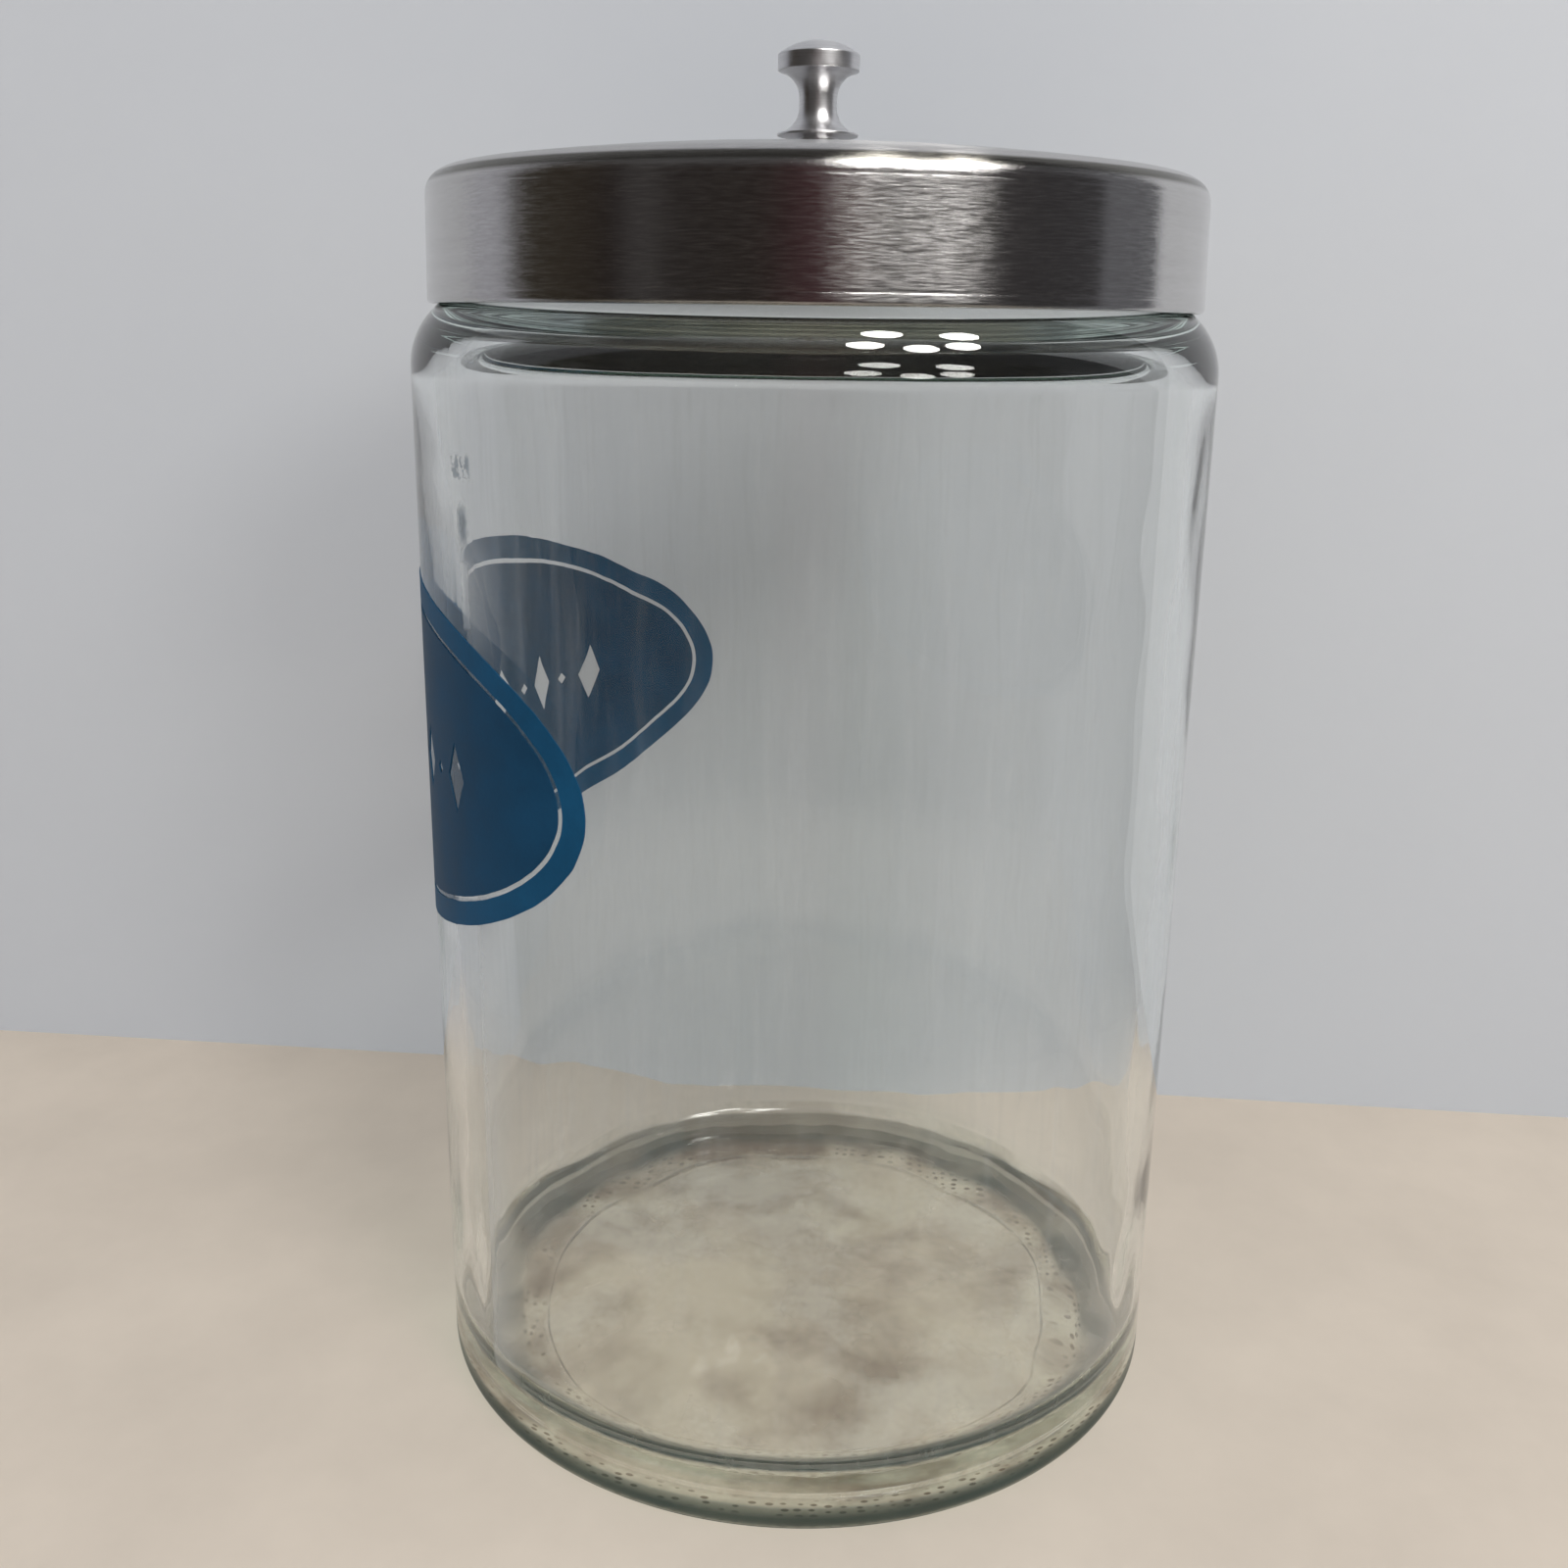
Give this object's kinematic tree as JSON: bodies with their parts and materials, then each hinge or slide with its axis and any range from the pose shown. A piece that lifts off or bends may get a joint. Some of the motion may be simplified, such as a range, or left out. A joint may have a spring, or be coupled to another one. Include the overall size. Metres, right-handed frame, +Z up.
{
  "type": "lidded glass canister",
  "caption": "Clear cylindrical glass canister with a fired enamel oval on its wall and a slip-on drawn steel lid that lifts off by a small turned knob.",
  "frame": {"origin": "centre of the base, on the surface the jar stands on", "axes": "+Z up along the jar's axis, out through the knob; the middle of the enamel oval faces -Y"},
  "size_m": [0.108, 0.1082, 0.1877],
  "materials": {
    "clear_glass": "clear, faintly green soda-lime glass",
    "border_enamel": "glossy fired enamel, blue",
    "field_enamel": "glossy fired enamel, dark blue",
    "lid_steel": "brushed round the axis",
    "knob_aluminium": "satin, turned",
    "plated_steel": "zinc plated"
  },
  "bodies": {
    "jar": {"glass_jar": "clear_glass", "label_border": "border_enamel", "label_field": "field_enamel"},
    "lid": {"lid_shell": "lid_steel", "knob": "knob_aluminium", "knob_screw": "plated_steel", "screw_washer": "plated_steel"}
  },
  "joints": [
    {"name": "lid_lift", "type": "slide", "parent": "jar", "child": "lid", "axis": [0, 0, 1], "range_m": [0, 0.06]}
  ]
}
